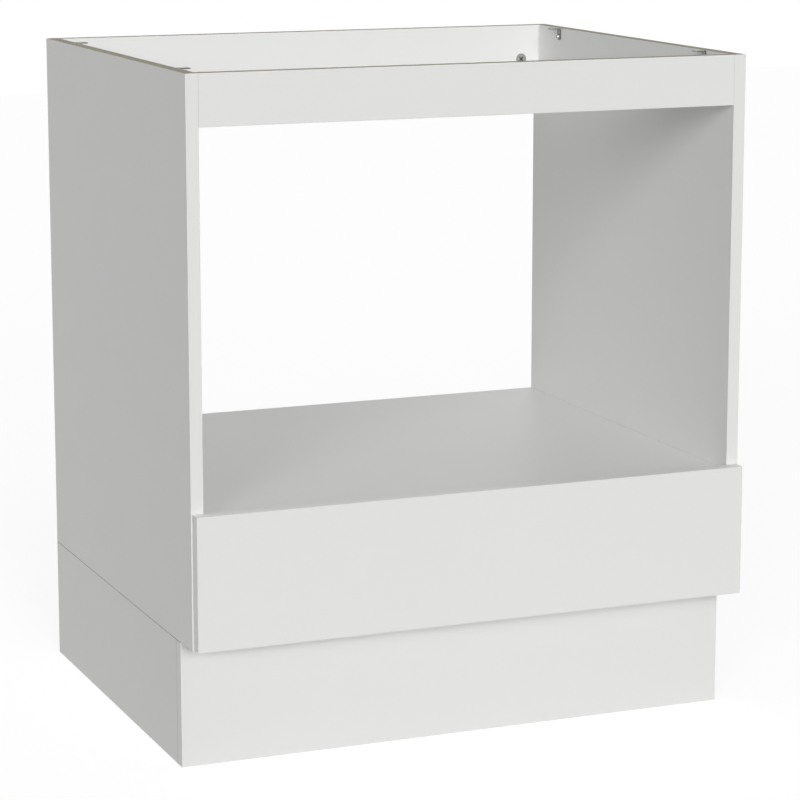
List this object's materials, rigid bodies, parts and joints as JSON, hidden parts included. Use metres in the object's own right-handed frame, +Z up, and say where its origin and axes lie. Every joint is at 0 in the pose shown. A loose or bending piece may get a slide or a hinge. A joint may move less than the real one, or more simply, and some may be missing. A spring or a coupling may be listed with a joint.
{
  "type": "kitchen base cabinet",
  "caption": "White kitchen base cabinet with an open appliance niche over a wide drawer on ball-bearing slides, on a recessed plinth.",
  "frame": {"origin": "centre of the footprint on the floor", "axes": "+X to the right seen from the front, +Y from the front to the rear, +Z up"},
  "size_m": [0.7, 0.58, 0.81],
  "materials": {
    "white_melamine": "satin white melamine on wood particle board",
    "edge_band": "satin white plastic edge band",
    "hardboard": "brown hardboard, painted white on the side that shows",
    "dowel_beech": "fluted beech",
    "cam_zinc": "die-cast zinc",
    "bracket_zinc": "zinc-plated steel",
    "screw_zinc": "bright zinc-plated steel",
    "slide_steel": "zinc-plated rolled steel",
    "ball_steel": "polished bearing steel",
    "black_plastic": "moulded plastic",
    "stop_rubber": "soft rubber",
    "buffer_clear": "milky soft plastic"
  },
  "bodies": {
    "carcass": {"side_left": "white_melamine", "side_right": "white_melamine", "front_rail": "white_melamine", "back_rail": "white_melamine", "niche_shelf": "white_melamine", "bottom_panel": "white_melamine", "rear_panel": "hardboard", "plinth_front": "white_melamine", "plinth_side_left": "white_melamine", "plinth_side_right": "white_melamine", "plinth_back": "white_melamine", "plinth_dowels": "dowel_beech", "carcass_edge_bands": "edge_band", "rail_cams": "cam_zinc", "rail_cam_bolts": "screw_zinc", "rail_dowels": "dowel_beech", "shelf_cams": "cam_zinc", "shelf_cam_bolts": "screw_zinc", "shelf_dowels": "dowel_beech", "bottom_cams": "cam_zinc", "bottom_cam_bolts": "screw_zinc", "bottom_dowels": "dowel_beech", "worktop_brackets": "bracket_zinc", "worktop_bracket_screws": "screw_zinc", "plinth_brackets": "bracket_zinc", "plinth_bracket_screws": "screw_zinc", "slide_outer_left": "slide_steel", "slide_outer_right": "slide_steel", "slide_outer_screws": "screw_zinc", "slide_rear_stops": "stop_rubber"},
    "drawer": {"drawer_front": "white_melamine", "drawer_front_bands": "edge_band", "drawer_side_left": "white_melamine", "drawer_side_right": "white_melamine", "drawer_back": "white_melamine", "drawer_bottom": "hardboard", "drawer_box_bands": "edge_band", "drawer_cams": "cam_zinc", "drawer_cam_bolts": "screw_zinc", "drawer_dowels": "dowel_beech", "drawer_back_screws": "screw_zinc", "drawer_bottom_screws": "screw_zinc", "drawer_buffers": "buffer_clear", "slide_inner_left": "slide_steel", "slide_inner_right": "slide_steel", "slide_inner_screws": "screw_zinc"},
    "middle_left": {"slide_middle_left": "slide_steel"},
    "middle_right": {"slide_middle_right": "slide_steel"},
    "outer_balls_and_cage_left": {"outer_cage_left": "slide_steel", "outer_balls_left": "ball_steel"},
    "outer_balls_and_cage_right": {"outer_cage_right": "slide_steel", "outer_balls_right": "ball_steel"},
    "inner_balls_and_cage_left": {"inner_cage_left": "slide_steel", "inner_balls_left": "ball_steel"},
    "inner_balls_and_cage_right": {"inner_cage_right": "slide_steel", "inner_balls_right": "ball_steel"},
    "lever_left": {"release_lever_left": "black_plastic"},
    "lever_right": {"release_lever_right": "black_plastic"}
  },
  "joints": [
    {"name": "drawer_slide", "type": "slide", "parent": "carcass", "child": "drawer", "axis": [0, -1, 0], "range_m": [0, 0.44]},
    {"name": "middle_left_slide", "type": "slide", "parent": "carcass", "child": "middle_left", "axis": [0, -1, 0], "range_m": [0, 0.22]},
    {"name": "middle_right_slide", "type": "slide", "parent": "carcass", "child": "middle_right", "axis": [0, -1, 0], "range_m": [0, 0.22]},
    {"name": "outer_cage_left_roll", "type": "slide", "parent": "carcass", "child": "outer_balls_and_cage_left", "axis": [0, -1, 0], "range_m": [0, 0.11]},
    {"name": "outer_cage_right_roll", "type": "slide", "parent": "carcass", "child": "outer_balls_and_cage_right", "axis": [0, -1, 0], "range_m": [0, 0.11]},
    {"name": "inner_cage_left_roll", "type": "slide", "parent": "carcass", "child": "inner_balls_and_cage_left", "axis": [0, -1, 0], "range_m": [0, 0.33]},
    {"name": "inner_cage_right_roll", "type": "slide", "parent": "carcass", "child": "inner_balls_and_cage_right", "axis": [0, -1, 0], "range_m": [0, 0.33]},
    {"name": "lever_left_tilt", "type": "hinge", "parent": "drawer", "child": "lever_left", "pos_m": [-0.3245, 0.027, 0.212], "axis": [1, 0, 0], "range_deg": [0, 5], "stiffness_Nm_per_rad": 0.1},
    {"name": "lever_right_tilt", "type": "hinge", "parent": "drawer", "child": "lever_right", "pos_m": [0.3245, 0.027, 0.212], "axis": [1, 0, 0], "range_deg": [-5, 0], "stiffness_Nm_per_rad": 0.1}
  ],
  "couplings": [
    {"joint": "middle_left_slide", "follows": "drawer_slide", "ratio": 0.5},
    {"joint": "middle_right_slide", "follows": "drawer_slide", "ratio": 0.5},
    {"joint": "outer_cage_left_roll", "follows": "drawer_slide", "ratio": 0.25},
    {"joint": "outer_cage_right_roll", "follows": "drawer_slide", "ratio": 0.25},
    {"joint": "inner_cage_left_roll", "follows": "drawer_slide", "ratio": 0.75},
    {"joint": "inner_cage_right_roll", "follows": "drawer_slide", "ratio": 0.75}
  ]
}
